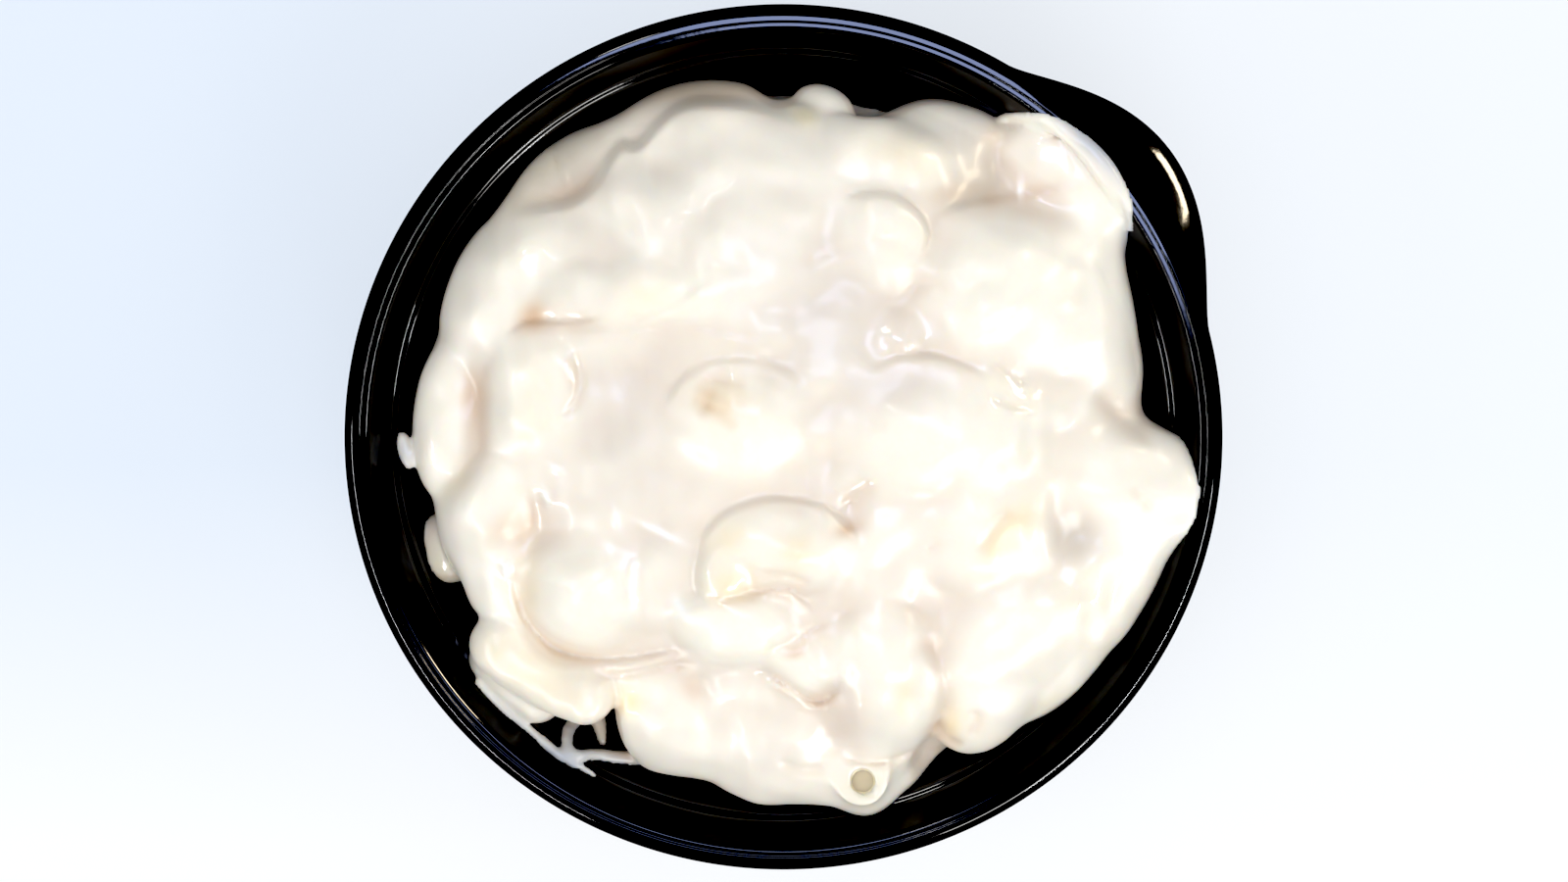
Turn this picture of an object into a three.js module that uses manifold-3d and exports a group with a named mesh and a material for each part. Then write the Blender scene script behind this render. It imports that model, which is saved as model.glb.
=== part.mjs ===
// Macaroni and cheese heaped in a round black microwave bowl with a thumb tab on its rim.
// Millimetres, +Z up. The origin is the middle of the bowl's foot, on the surface that it stands on.
import * as THREE from "three";
import { mergeVertices } from "three/addons/utils/BufferGeometryUtils.js";
import Module from "manifold-3d";

// The bowl, a thin moulding. Radii are of the side that faces the food, heights are from the foot.
const BOWL = {
  rimRadius: 75,
  height: 45,
  wall: 1,
  floorRadius: 44,
  floorHeight: 2.6,
  cornerRadius: 7,
  footRadius: 41,
  footWidth: 2.4,
  stepRadius: 66.6,
  stepHeight: 37.6,
  stepWidth: 1.3,
  beadRadius: 73.1,
  lipDepth: 3,
  segments: 64,
};

// The thumb tab: the rim's outer lip, drawn out and slightly down over a stretch of the rim.
const TAB = { heading: 38, halfAngle: 22, reach: 7.7, droop: 1.6, fullness: 1.4 };

// The heap: sauce and pasta that fill the bowl to its wall and rise over the rim as a low mound.
// Crown and fall give the height over the rim: crown - fall * (radius / shoulder) ** steepness.
const HEAP = {
  gap: 0.4,
  crown: 7,
  fall: 10,
  steepness: 3.2,
  shoulder: 58,
  side: 60,
  sideTop: 4,
  sideFoot: 30,
  contactHeight: 23,
  segments: 56,
};

// Where the heap's side bulges out or draws in: heading in degrees, half width, reach.
const LOBES = [
  [10, 14, 2],
  [40, 12, 7],
  [75, 8, -3],
  [105, 14, 2],
  [135, 14, 0],
  [180, 12, 1],
  [220, 9, 3],
  [232, 5, -2],
  [268, 12, 1],
  [318, 14, 2],
  [338, 12, 3],
];

// Swells and hollows of the sauce: x, y, reach in plan, rise.
const SWELLS = [
  [-8, 46, 16, 3.5],
  [-22, 12, 11, -1.5],
  [-41, 20, 4, -4],
  [-45, -12, 4, -3],
  [31, 45, 6, -4],
  [11, -11, 5, -3.5],
  [50, -14, 5, -4],
  [38, 26, 15, 2],
  [-10, -29, 9, 2],
  [-16, -42, 5, -3],
  [12, 22, 10, -1],
];

// Elbow macaroni, and the ends that it is cut to.
const ELBOW = { girth: 3.7, bore: 1.9, boreDepth: 6, chamfer: 2.2, sides: 8, stations: 5 };

// Elbows that show: x and y of the middle, heading of the middle in degrees from +X, lean (where the ends
// curve to: 0 left, 90 up, 180 right, 270 down), bend radius, height of the middle over the sauce, thickness
// of the sauce on it, length, and 1 where the front end is open. They lie along the slope of the sauce.
const SHOWING = [
  [-58.5, 4, 262, 0, 26, 1, 1.5, 23, 0],
  [-48, 31, 60, 270, 14, -1, 3.2, 22, 0],
  [-52, 22, 80, 270, 12, -2.5, 2, 18, 0],
  [-35, 26, 200, 270, 10, -0.5, 1, 16, 0],
  [-21, 26.5, 20, 280, 16, 0, 0.8, 18, 0],
  [-43.5, 10, 66, 270, 12, 0.5, 2.8, 22, 0],
  [-51, -11.5, 255, 270, 14, 0.5, 3.4, 24, 0],
  [-53.5, -19, 200, 0, 18, -5, 1, 16, 0],
  [-38.5, -26.5, 262, 0, 11, 0.5, 2.6, 24, 0],
  [-32, -26, 280, 270, 12, 0, 2.6, 22, 0],
  [-44, -40.5, 325, 180, 24, -0.5, 1.5, 21, 0],
  [-47, -30, 262, 0, 20, -6.5, 1, 16, 0],
  [-23, -47, 320, 270, 14, -2, 2.8, 22, 0],
  [-12, -52, 300, 270, 12, -2.5, 2.2, 18, 0],
  [1, -53, 280, 270, 14, -1, 2.8, 24, 0],
  [14, -50, 268, 90, 9, -12.5, 1.1, 24, 1],
  [17.5, -42, 282, 200, 20, 0, 3, 27, 0],
  [33.5, -47, 220, 300, 12, -1, 1.5, 20, 0],
  [61, -2, 322, 270, 30, 2.5, 2.6, 24, 0],
  [62, -13, 30, 270, 30, 3, 2.4, 20, 0],
  [43.5, 48.5, 85, 270, 10, 2.5, 2.4, 18, 0],
  [52, 43, 305, 270, 14, 2.5, 2.6, 22, 0],
  [18.5, 49, 350, 200, 8, 1, 1.2, 24, 0],
  [31, 50, 290, 270, 14, -3, 1.4, 18, 0],
  [17, 37, 320, 270, 10, 1, 2.6, 18, 0],
  [11.5, 60.5, 190, 50, 9, -5, 1.1, 20, 1],
  [-38, 46.5, 40, 190, 16, -4, 1.2, 24, 0],
  [-18, 56.5, 18, 190, 16, -6, 1.2, 24, 0],
  [-14, 46, 60, 270, 18, -4, 4, 24, 0],
  [0, 46, 320, 270, 18, -4.5, 4, 24, 0],
  [42, 31, 10, 270, 16, -3, 3, 22, 0],
  [51, 20, 290, 270, 16, -3, 3, 22, 0],
  [27, 23, 350, 250, 12, -1.5, 2, 20, 0],
  [24, 7.5, 2, 260, 16, -0.5, 2.6, 24, 0],
  [-8.5, 7, 350, 240, 12, -0.5, 3, 24, 0],
  [-1.5, -16.5, 175, 15, 9.5, 0, 1.4, 28, 0],
  [-8, -29.5, 345, 270, 16, -0.5, 2.6, 22, 0],
  [3, -38, 330, 270, 9, -0.5, 1, 14, 0],
  [39, -14, 55, 270, 14, -1, 2.2, 22, 0],
  [53, -25, 250, 270, 16, 0, 3, 22, 0],
  [44, -35, 230, 270, 14, 0, 2.8, 22, 0],
  [33, -30, 260, 270, 14, -1.5, 2.6, 20, 0],
  [22, -12, 0, 270, 14, -2.5, 2.4, 20, 0],
];

const wasm = await Module();
wasm.setup();

const radians = THREE.MathUtils.degToRad;
const at = (r, z) => new THREE.Vector2(r, z);

// A closed three.js geometry as a manifold-3d solid.
function solidOf(geometry) {
  const bare = geometry.clone();
  bare.deleteAttribute("normal");
  bare.deleteAttribute("uv");
  const merged = mergeVertices(bare, 1e-3);
  const mesh = new wasm.Mesh({
    numProp: 3,
    vertProperties: merged.attributes.position.array,
    triVerts: new Uint32Array(merged.index.array),
  });
  return new wasm.Manifold(mesh);
}

// A manifold-3d solid as a three.js geometry.
function geometryOf(solid) {
  const mesh = solid.getMesh();
  const geometry = new THREE.BufferGeometry();
  geometry.setAttribute("position", new THREE.BufferAttribute(mesh.vertProperties, 3));
  geometry.setIndex(new THREE.BufferAttribute(mesh.triVerts, 1));
  geometry.computeVertexNormals();
  return geometry;
}

// Moves every vertex of a geometry by a function that changes a Vector3 in place.
function reshape(geometry, move) {
  const positions = geometry.attributes.position;
  const point = new THREE.Vector3();
  for (let i = 0; i < positions.count; i++) {
    point.fromBufferAttribute(positions, i);
    move(point);
    positions.setXYZ(i, point.x, point.y, point.z);
  }
  geometry.computeVertexNormals();
  return geometry;
}

// A profile of (radius, height) points turned about the vertical axis.
function turned(profile, segments) {
  return new THREE.LatheGeometry(profile, segments).rotateX(Math.PI / 2);
}

// Points on an arc in the profile's plane, from one angle to another in degrees.
function arc(r, z, radius, from, to, steps) {
  return Array.from({ length: steps + 1 }, (_, i) => {
    const angle = radians(THREE.MathUtils.lerp(from, to, i / steps));
    return at(r + radius * Math.cos(angle), z + radius * Math.sin(angle));
  });
}

// The wall's inside from the floor's edge up to the step, moved out by `offset` (in, if negative).
function wallLine(offset) {
  const { floorRadius, floorHeight, cornerRadius, stepRadius, stepHeight } = BOWL;
  const slope = Math.atan2(stepRadius - floorRadius - cornerRadius, stepHeight - floorHeight - cornerRadius);
  const corner = arc(
    floorRadius,
    floorHeight + cornerRadius,
    cornerRadius + offset,
    -90,
    -THREE.MathUtils.radToDeg(slope),
    3,
  );
  return [...corner, at(stepRadius + offset * Math.cos(slope), stepHeight - offset * Math.sin(slope))];
}

// How far the tab draws the lip out at a place on the rim.
function tabReach(x, y) {
  const away = THREE.MathUtils.radToDeg(Math.atan2(y, x)) - TAB.heading;
  if (Math.abs(away) >= TAB.halfAngle) return 0;
  return TAB.reach * Math.cos(radians((90 * away) / TAB.halfAngle)) ** TAB.fullness;
}

function bowlGeometry() {
  const { rimRadius, height, wall, floorHeight, footRadius, footWidth, stepRadius, stepHeight } = BOWL;
  const { stepWidth, beadRadius, lipDepth } = BOWL;
  const ledge = stepRadius + stepWidth;
  const flange = beadRadius - 2;
  const inside = [
    at(0, floorHeight),
    ...wallLine(0),
    at(ledge, stepHeight + 0.5),
    at(flange - 0.8, height - 1.2),
    at(flange, height - 0.35),
    at(flange + 0.9, height - 0.45),
    at(beadRadius, height),
    at(beadRadius + 0.9, height - 0.25),
  ];
  const lip = [
    at(rimRadius - 0.5, height - 0.8),
    at(rimRadius, height - 1.6),
    at(rimRadius, height - lipDepth),
    at(rimRadius - wall, height - lipDepth),
  ];
  const outside = [
    at(rimRadius - wall - 0.3, height - wall - 0.7),
    at(flange + 0.4, height - wall - 0.5),
    at(ledge + wall, stepHeight - 0.2),
    ...wallLine(wall).reverse(),
    at(footRadius + footWidth, 0),
    at(footRadius, 0),
    at(footRadius - 0.8, floorHeight - wall),
    at(0, floorHeight - wall),
  ];
  // The lip's points go out with the tab by these shares, from the bead round to the underside.
  const first = inside.length - 1;
  const shares = [0.4, 0.8, 1, 1, 0.88, 0.3];
  const profile = [...inside, ...lip, ...outside];
  const geometry = new THREE.LatheGeometry(profile.reverse(), BOWL.segments);
  const positions = geometry.attributes.position;
  geometry.rotateX(Math.PI / 2);
  const last = profile.length - 1;
  for (let i = 0; i < positions.count; i++) {
    const share = shares[last - (i % profile.length) - first] ?? 0;
    const [x, y] = [positions.getX(i), positions.getY(i)];
    const out = share * tabReach(x, y);
    const stretch = 1 + out / Math.max(Math.hypot(x, y), 1);
    const drop = (TAB.droop * out) / TAB.reach;
    positions.setXYZ(i, x * stretch, y * stretch, positions.getZ(i) - drop);
  }
  return geometry;
}

// A bell curve, 1 at `away` 0, that falls off over `reach`.
const bell = (away, reach) => Math.exp(-((away / reach) ** 2));

// Height of the sauce over the rim's top at a place in plan.
function sauceTop(x, y) {
  const { crown, fall, shoulder, steepness } = HEAP;
  const dome = crown - fall * (Math.hypot(x, y) / shoulder) ** steepness;
  const swell = ([sx, sy, reach, rise]) => rise * bell(Math.hypot(x - sx, y - sy), reach);
  return SWELLS.reduce((z, one) => z + swell(one), dome);
}

// Radius of the heap's side towards a place in plan.
function sideRadius(x, y) {
  const heading = THREE.MathUtils.radToDeg(Math.atan2(y, x));
  const turn = (to) => THREE.MathUtils.euclideanModulo(heading - to + 180, 360) - 180;
  return LOBES.reduce((r, [to, width, reach]) => r + reach * bell(turn(to), width), HEAP.side);
}

// The mass of sauce and buried pasta that the showing elbows lie in.
function coreSolid() {
  const { gap, side, sideTop, sideFoot, contactHeight, segments } = HEAP;
  const wall = wallLine(-gap).filter((p) => p.y < contactHeight);
  const overRim = BOWL.height + 20;
  const rings = [0.2, 0.38, 0.54, 0.68, 0.8, 0.9, 0.97].map((share) => at(share * side, overRim));
  const profile = [
    at(0, BOWL.floorHeight + gap),
    ...wall,
    at(side - 1.5, contactHeight),
    at(side, sideFoot),
    at(side, BOWL.height - sideTop - 5),
    ...rings.reverse(),
    at(0, overRim),
  ];
  const geometry = reshape(turned(profile, segments), (p) => {
    const share = Math.hypot(p.x, p.y) / side;
    if (p.z < sideFoot || share === 0) {
      if (p.z > BOWL.height) p.z = BOWL.height + sauceTop(0, 0);
      return;
    }
    const stretch = sideRadius(p.x, p.y) / side;
    p.x *= stretch;
    p.y *= stretch;
    if (p.z > BOWL.height) p.z = BOWL.height + sauceTop(p.x, p.y);
  });
  return solidOf(geometry);
}

// The directions of an elbow that lies on the sauce: along it, to where its ends curve, and across.
function layOf(x, y, heading, lean) {
  const span = 1.5;
  const ahead = new THREE.Vector3(Math.cos(radians(heading)), Math.sin(radians(heading)), 0);
  const left = new THREE.Vector3(-ahead.y, ahead.x, 0);
  for (const way of [ahead, left]) {
    const rise = sauceTop(x + way.x * span, y + way.y * span) - sauceTop(x - way.x * span, y - way.y * span);
    way.z = THREE.MathUtils.clamp(rise / (2 * span), -0.7, 0.7);
  }
  const along = ahead.normalize();
  left.addScaledVector(along, -left.dot(along)).normalize();
  const up = new THREE.Vector3().crossVectors(along, left);
  const inward = left.multiplyScalar(Math.cos(radians(lean))).addScaledVector(up, Math.sin(radians(lean)));
  return { along, inward, across: new THREE.Vector3().crossVectors(along, inward) };
}

// One elbow as a solid of revolution along its own centre line, then bent round to its place.
function elbowSolid([x, y, heading, lean, bend, proud, coat, length, open]) {
  const { girth, bore, boreDepth, chamfer, sides, stations } = ELBOW;
  const half = length / 2;
  const radius = girth + coat;
  const body = Array.from({ length: stations + 1 }, (_, i) => {
    return at(radius, THREE.MathUtils.lerp(-half + chamfer, half - (open ? 0.8 : chamfer), i / stations));
  });
  const back = [at(0, -half), at(radius * 0.62, -half + chamfer * 0.25)];
  const mouth = [at(radius - 0.8, half), at(bore, half - 0.2), at(bore, half - boreDepth), at(0, half - boreDepth)];
  const front = open ? mouth : [at(radius * 0.62, half - chamfer * 0.25), at(0, half)];
  const { along, inward, across } = layOf(x, y, heading, lean);
  const middle = new THREE.Vector3(x, y, BOWL.height + sauceTop(x, y) + proud);
  return solidOf(
    reshape(turned([...back, ...body, ...front], sides), (p) => {
      const turn = p.z / bend;
      const reach = bend - p.x;
      const sideways = p.y;
      p.copy(middle)
        .addScaledVector(along, reach * Math.sin(turn))
        .addScaledVector(inward, bend - reach * Math.cos(turn))
        .addScaledVector(across, sideways);
    }),
  );
}

// The room that the food may take: the bowl's inside less a thin gap, and everything above the rim.
function roomSolid() {
  const { gap } = HEAP;
  const { beadRadius, height, rimRadius, stepRadius, stepWidth, stepHeight } = BOWL;
  const overRim = height + gap;
  const profile = [
    at(0, BOWL.floorHeight + gap),
    ...wallLine(-gap),
    at(stepRadius + stepWidth - gap, stepHeight + gap + 0.4),
    at(beadRadius - 3.2, height - 0.6),
    at(beadRadius - 2.2, overRim),
    at(rimRadius, overRim),
    at(rimRadius, height + 25),
    at(0, height + 25),
  ];
  return solidOf(turned(profile, BOWL.segments));
}

// The heap: core and elbows fused. A sealed hollow or a loose scrap is its own shell, and is left out.
function heapGeometry() {
  const fused = SHOWING.reduce((heap, elbow) => heap.add(elbowSolid(elbow)), coreSolid());
  const shells = fused.intersect(roomSolid()).decompose();
  const outer = shells.reduce((a, b) => (b.volume() > a.volume() ? b : a));
  return geometryOf(outer);
}

const black = new THREE.MeshStandardMaterial({ color: 0x0b0b0d, roughness: 0.22, metalness: 0 });
const creamy = new THREE.MeshStandardMaterial({ color: 0xf1e8d3, roughness: 0.35, metalness: 0 });

const bowl = new THREE.Mesh(bowlGeometry(), black);
bowl.name = "bowl";
const heap = new THREE.Mesh(heapGeometry(), creamy);
heap.name = "macaroni_and_cheese";

const part = new THREE.Group();
part.add(bowl, heap);
export default part;
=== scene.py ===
import math
import bpy
import numpy as np
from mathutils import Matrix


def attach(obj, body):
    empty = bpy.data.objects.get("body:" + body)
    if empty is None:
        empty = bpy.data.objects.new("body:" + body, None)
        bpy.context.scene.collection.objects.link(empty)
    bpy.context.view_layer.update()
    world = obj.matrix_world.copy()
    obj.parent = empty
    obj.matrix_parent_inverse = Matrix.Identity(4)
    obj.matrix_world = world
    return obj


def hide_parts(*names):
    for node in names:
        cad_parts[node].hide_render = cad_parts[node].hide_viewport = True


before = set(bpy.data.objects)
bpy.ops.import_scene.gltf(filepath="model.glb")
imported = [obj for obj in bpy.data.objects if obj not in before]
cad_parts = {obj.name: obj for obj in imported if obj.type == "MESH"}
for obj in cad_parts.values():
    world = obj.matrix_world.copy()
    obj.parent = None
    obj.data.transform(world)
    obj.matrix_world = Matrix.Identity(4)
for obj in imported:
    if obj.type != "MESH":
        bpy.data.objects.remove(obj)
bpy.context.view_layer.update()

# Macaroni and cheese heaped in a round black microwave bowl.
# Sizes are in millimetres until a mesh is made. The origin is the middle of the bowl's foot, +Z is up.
import openvdb
from mathutils import Vector

MM = 0.001

# ---- sizes

BOWL = dict(
    rim_radius=75.0, height=45.0, wall=1.0,
    floor_radius=44.0, floor_height=2.6, corner_radius=7.0,
    foot_radius=41.0, foot_width=2.4,
    step_radius=66.6, step_height=37.6, step_width=1.3,
    bead_radius=73.1, bead_width=2.0, lip_depth=3.0,
)
TAB = dict(heading=38.0, half_angle=22.0, reach=7.7, droop=1.6, fullness=1.4)
RIM = BOWL["height"]

# The sauce: height over the rim is crown - fall * (radius / shoulder) ** steepness, plus the swells. Below
# flare_from the side spreads out by flare for each millimetre, down to the foot.
SAUCE = dict(
    crown=7.0, fall=10.0, shoulder=58.0, steepness=3.2, level_from=62.0,
    side=61.0, edge_round=4.6, flare_from=24.0, flare=3.0, foot=22.0,
)

# Where the heap's side bulges out or draws in: heading in degrees, half width, reach.
LOBES = [
    (16, 11, 3), (38, 10, 3.4), (57, 7, 4.6), (75, 8, -4), (91, 4, -2), (68, 6, 3), (108, 12, 0.9),
    (148, 8, 2.2), (168, 8, 2), (183, 10, 1.8), (221, 7, 0.4), (234, 6, -9), (247, 5, 2.6), (267, 11, 3.4),
    (288, 9, 5.5), (316, 10, 5.5), (338, 12, 5), (353, 5, 5.4),
]

# Swells and hollows of the sauce: x, y, reach in plan, rise.
SWELLS = [
    (-8, 44, 18, 2.6), (-24, 12, 11, -1), (-43, 21, 4, -1.6), (-43, -13.5, 5.5, -1.8),
    (28, 44.6, 4.4, -1), (37, 45.2, 4.2, -0.8), (45.5, 45.4, 3, -0.5), (11, -9, 3, -1.4),
    (50, -14, 4.4, -3), (38, 26, 16, 1.6), (-15, -41, 4, -1.2), (14, 24, 10, -1), (-20, 49, 5, -1.2),
    (26, -24, 6, -1), (25, -55, 5, -5), (-53, 10.6, 3.6, -1.4), (-59, 19.5, 2.6, -2),
]

# Lumps of pasta deep in the sauce: x, y, half length, half width, heading of the length, how far it stands
# over the sauce, how softly the sauce runs into it, and by how many degrees the front end is tipped up.
LUMPS = [
    (-46, 30.5, 14, 11.5, 50, 3.4, 3),
    (-53, 23.4, 9, 6.5, 70, 1.2, 5),
    (-36, 26.8, 8, 6, 20, 2.2, 1.6),
    (-21, 27.3, 12, 6.5, 22, 1.5, 4),
    (-43, 12, 11.5, 9, 88, 2.5, 4.4, 8),
    (-59.2, 4.5, 13.5, 6.4, 84, 2.6, 1.6),
    (-65.2, -0.8, 3.4, 1.5, 105, 0.6, 0.6),
    (-8, 7, 12, 16, 92, 2.2, 2.6, 8),
    (-52, -12.5, 13, 9.5, 72, 2.9, 2),
    (-50, -22.5, 8.5, 5.6, 62, 1.8, 2.5),
    (-35, -24.4, 13, 12, 265, 3.2, 2, 6),
    (-8.5, -29.2, 12.5, 7.4, 172, 3, 1.2),
    (2.8, -36.8, 7.5, 6, 330, 2.3, 1.2),
    (-1, -15.6, 14.5, 9.8, 352, 3.2, 1.2),
    (-9.6, -19.2, 6.8, 5.4, 250, 2.9, 1.2),
    (-2, -55, 12.5, 10.5, 275, 2.4, 3.5),
    (14, -58.5, 10.5, 9.5, 275, 3, 2.4),
    (6, -58, 8.5, 8, 280, 2.6, 3.5),
    (-19.5, -50.5, 11, 8.5, 290, 1.6, 4),
    (18, -41, 16.5, 10, 275, 3.6, 4),
    (35, -47, 10, 8.2, 70, 3.6, 1.4),
    (33, -37, 11, 7, 250, 1.2, 5),
    (45, -36, 13, 9, 40, 2.4, 10),
    (53, -26, 13, 10, 60, 2.2, 10),
    (38.5, -13, 9.5, 6.5, 50, 0.6, 8),
    (65.2, -6.8, 14.8, 7.2, 334, 5, 3.6),
    (60.5, -7, 12, 9, 345, 3.4, 7),
    (62.6, -1.6, 7, 4, 345, 4.6, 2),
    (61, -15.4, 14, 7, 62, 3.2, 9),
    (28, 4.6, 11, 20, 93, 2.1, 6, 9),
    (16.5, 38.2, 10, 7.8, 315, 2.2, 3.4),
    (43.5, 49, 8.6, 7.6, 80, 4.4, 1.8),
    (52, 44.5, 11, 8, 305, 4.2, 4.5),
    (53.8, 27.5, 13, 5.4, 277, 2, 6),
    (43, 29.5, 18, 14, 160, 2.2, 6),
    (32.5, 24.5, 5, 4, 30, 0.7, 2.5),
    (19, 20.5, 4.5, 3.5, 60, 0.6, 2.5),
    (30, 51, 10, 9, 0, -0.8, 8),
    (9.5, 54.8, 3.6, 3.2, 20, 0.6, 1),
    (7.2, 59.6, 5.6, 4.3, 335, -0.6, 0.8),
    (3.6, 56.6, 3.6, 2.6, 325, 0.2, 0.5),
    (-26, 43.5, 9, 3.4, 112, 0.9, 3),
    (-59.6, -19.4, 7.4, 6.4, 20, -1.6, 0.5),
    (16.4, 51.2, 9.4, 6, 350, 3.2, 2),
    (24, 47.6, 5, 4.4, 300, 2.4, 4),
]
# Half the thickness of a lump, as a share of its half width.
LUMP_FLATNESS = 0.8

# Elbow macaroni: outer radius, inner radius, and how many sides its mesh has.
PASTA = dict(girth=3.7, bore=1.9, sides=28)

# Elbows that show: x and y of the middle, heading of the middle in degrees from +X, lean (where the ends
# curve to: 0 left, 90 up, 180 right, 270 down), bend radius, height of the middle over the sauce,
# thickness of the sauce on it, length, and how softly the sauce runs into it.
SHOWING = [
    (-42.4, -39.8, 332, 0, 24, -0.5, 1.9, 22, 1.6),
    (-47.6, -42.4, 316, 0, 30, -2.4, 0.4, 16, 1.2),
    (-46, -31, 262, 0, 20, -5.5, 1, 14, 1.5),
    (-38, 46.5, 40, 190, 16, -4, 1.2, 24, 3),
    (-18, 56.5, 18, 190, 16, -6, 1.2, 24, 3),
]

# Folds, where one lobe of sauce lies against the next: depth and width of the crease, how far the right side
# stands up (left if negative), over how many mm that fades out, how much dark tan painted shade lies along
# it, and its path in plan.
FOLDS = [
    (0.5, 1, 1.3, 6, 0.3, [
        (-47, 19.7), (-43.1, 22.1), (-40, 22.2), (-36.2, 22.4), (-31.4, 23), (-29.4, 24.8)]),
    (0.3, 1.2, 0.7, 8, 0.1, [
        (-39, 20.8), (-32.3, 21.1), (-24.5, 21.3), (-15.7, 21.8), (-7.8, 20.3), (-1, 19)]),
    (0, 1.4, -0.6, 6, 0, [(-28.5, 23.8), (-24, 23.8), (-19, 25.8), (-14.5, 28.8), (-12.5, 30.8)]),
    (0.5, 1.2, 0, 4, 0.3, [
        (-46.5, 18.4), (-50, 15.6), (-51.6, 10), (-51.6, 4), (-52, 0), (-54.6, -4), (-57.6, -8.8)]),
    (0.4, 0.7, -0.6, 4, 0.15, [(-34.8, 18.6), (-34.1, 14.2), (-34.7, 9.8), (-37.5, 6.6)]),
    (0.05, 1.8, 0.9, 8, 0.05, [(-20, 7), (-17, 12.4), (-12.2, 15.7), (-5.7, 16.2), (0, 14.6), (4.6, 11)]),
    (0.3, 1, -1.4, 6, 0.05, [
        (-44.4, -17), (-46.2, -20.4), (-46, -25), (-44.5, -29.8), (-40, -34.9), (-34.3, -36.4),
        (-26.5, -35.8), (-19.6, -34.2), (-13.7, -33.2)]),
    (0.5, 0.8, -0.4, 4, 0.2, [(-35.3, -38.2), (-29.4, -39.2), (-21.6, -37.4), (-13.7, -36)]),
    (0.1, 1.3, 1.1, 6, 0.1, [
        (-14.6, -18.6), (-13.2, -13.6), (-9.7, -9.6), (-4.5, -7.5), (0, -7.2), (5.6, -8.2), (9.4, -10.5),
        (12, -14.4), (12.8, -17.6)]),
    (0.6, 0.9, 0, 4, 0.25, [(9.6, -8.4), (12.4, -6.5), (15.3, -3.5)]),
    (0.4, 0.6, 1.2, 6, 0.3, [
        (-14, -22.4), (-10.8, -24), (-4.9, -23.2), (0, -22.4), (3.4, -24.8), (5.4, -27.4)]),
    (0.4, 0.7, 0, 4, 0.3, [(-3.9, -19.2), (1, -19.6), (4.9, -21.6)]),
    (0.5, 0.8, 0.8, 4, 0.2, [(-3, -33.4), (2, -32.2), (4.9, -30.2), (8.8, -28.6)]),
    (0.3, 0.8, -1.4, 5, 0.15, [(-4.9, -37), (0, -39.6), (5.9, -43.6), (9.2, -40.4), (10, -37)]),
    (0.15, 1.8, 0.4, 6, 0.1, [(8.8, -29), (13.7, -26.4), (18.6, -25.4), (22.5, -28), (24.5, -31.5)]),
    (0.7, 1, 0.8, 5, 0.25, [(24.5, -31.5), (26.9, -38), (27.4, -43.6), (26, -49), (24, -52.4)]),
    (0.4, 2.4, 0, 4, 0.2, [(10.4, -39), (9.2, -44.4), (9.8, -51.4)]),
    (0.4, 0.7, -0.6, 4, 0.2, [(10, -54), (13.9, -55), (18.9, -55), (23.8, -53.6)]),
    (0.4, 0.9, 0, 4, 0.2, [(-1, -53.9), (3, -56), (7.9, -55.9)]),
    (0.8, 1, 0, 4, 0.4, [(26.4, -47.2), (28.4, -51), (31.6, -53)]),
    (0.4, 0.7, 0, 4, 0.25, [(32.6, -44.4), (33.6, -47.4), (32.6, -50.4)]),
    (0.35, 1.2, -0.8, 5, 0.12, [
        (13.6, 14.6), (17, 16.6), (21.6, 17.6), (26.4, 17.4), (31.9, 15.2), (33.8, 12.8)]),
    (0.4, 0.6, 0, 4, 0.12, [(34.8, 16.6), (37.8, 14.2), (41, 12.2)]),
    (0.4, 0.6, 0, 4, 0.12, [(34.2, 10.8), (38.2, 9), (43.4, 8.2)]),
    (0.3, 1.2, 0, 4, 0.12, [
        (20.2, 18.4), (19.8, 22.4), (19.7, 26.2), (23, 29.2), (27.8, 28.2), (28.8, 26.2)]),
    (0.3, 0.8, 0, 4, 0.1, [(16.2, 19.8), (20.2, 17.8)]),
    (0.4, 0.6, 1.2, 5, 0.12, [
        (9.3, 42.9), (13.7, 44), (18.6, 43.6), (22, 41.2), (23.9, 37.8), (22.7, 34.4), (20.6, 32.4)]),
    (0.25, 1, 0, 4, 0.12, [(2.9, 32.8), (7.8, 34.4), (13.7, 35.6)]),
    (0.2, 1.6, 0.8, 4, 0.1, [(24, 38.6), (28.4, 41), (33.3, 42), (41.2, 42.8), (50, 45.2)]),
    (0.4, 1, 0.3, 4, 0.2, [(36.8, 44.4), (35.8, 48.2), (37, 52.4), (40.4, 56)]),
    (0.7, 1.6, 0, 4, 0.25, [(52.6, 11), (56.6, 6.8), (60.6, 3.6), (64.5, 1.6)]),
    (0.35, 0.7, 0, 4, 0.2, [(59, -5.4), (62.5, -9.8)]),
    (0.35, 0.8, 0.4, 4, 0.35, [(33.2, -17), (36, -12.1), (39.5, -8.7)]),
    (0.25, 0.6, 0, 3, 0.12, [(13.7, 5.8), (17.6, 5.6)]),
    (0.25, 0.6, 0, 3, 0.12, [(24, -15.8), (26.7, -14.4)]),
    (0, 2.2, -3.4, 40, 0.1, [
        (-47.5, 39.4), (-44, 41.3), (-39.7, 42.1), (-36, 42.9), (-32.8, 45.2), (-29.8, 49.7), (-27.3, 52.4),
        (-24.8, 52.2), (-21.9, 55.4), (-18.4, 58.3), (-14, 59.5), (-7, 59.3), (0, 57.6), (4, 55.2)]),
]

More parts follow.
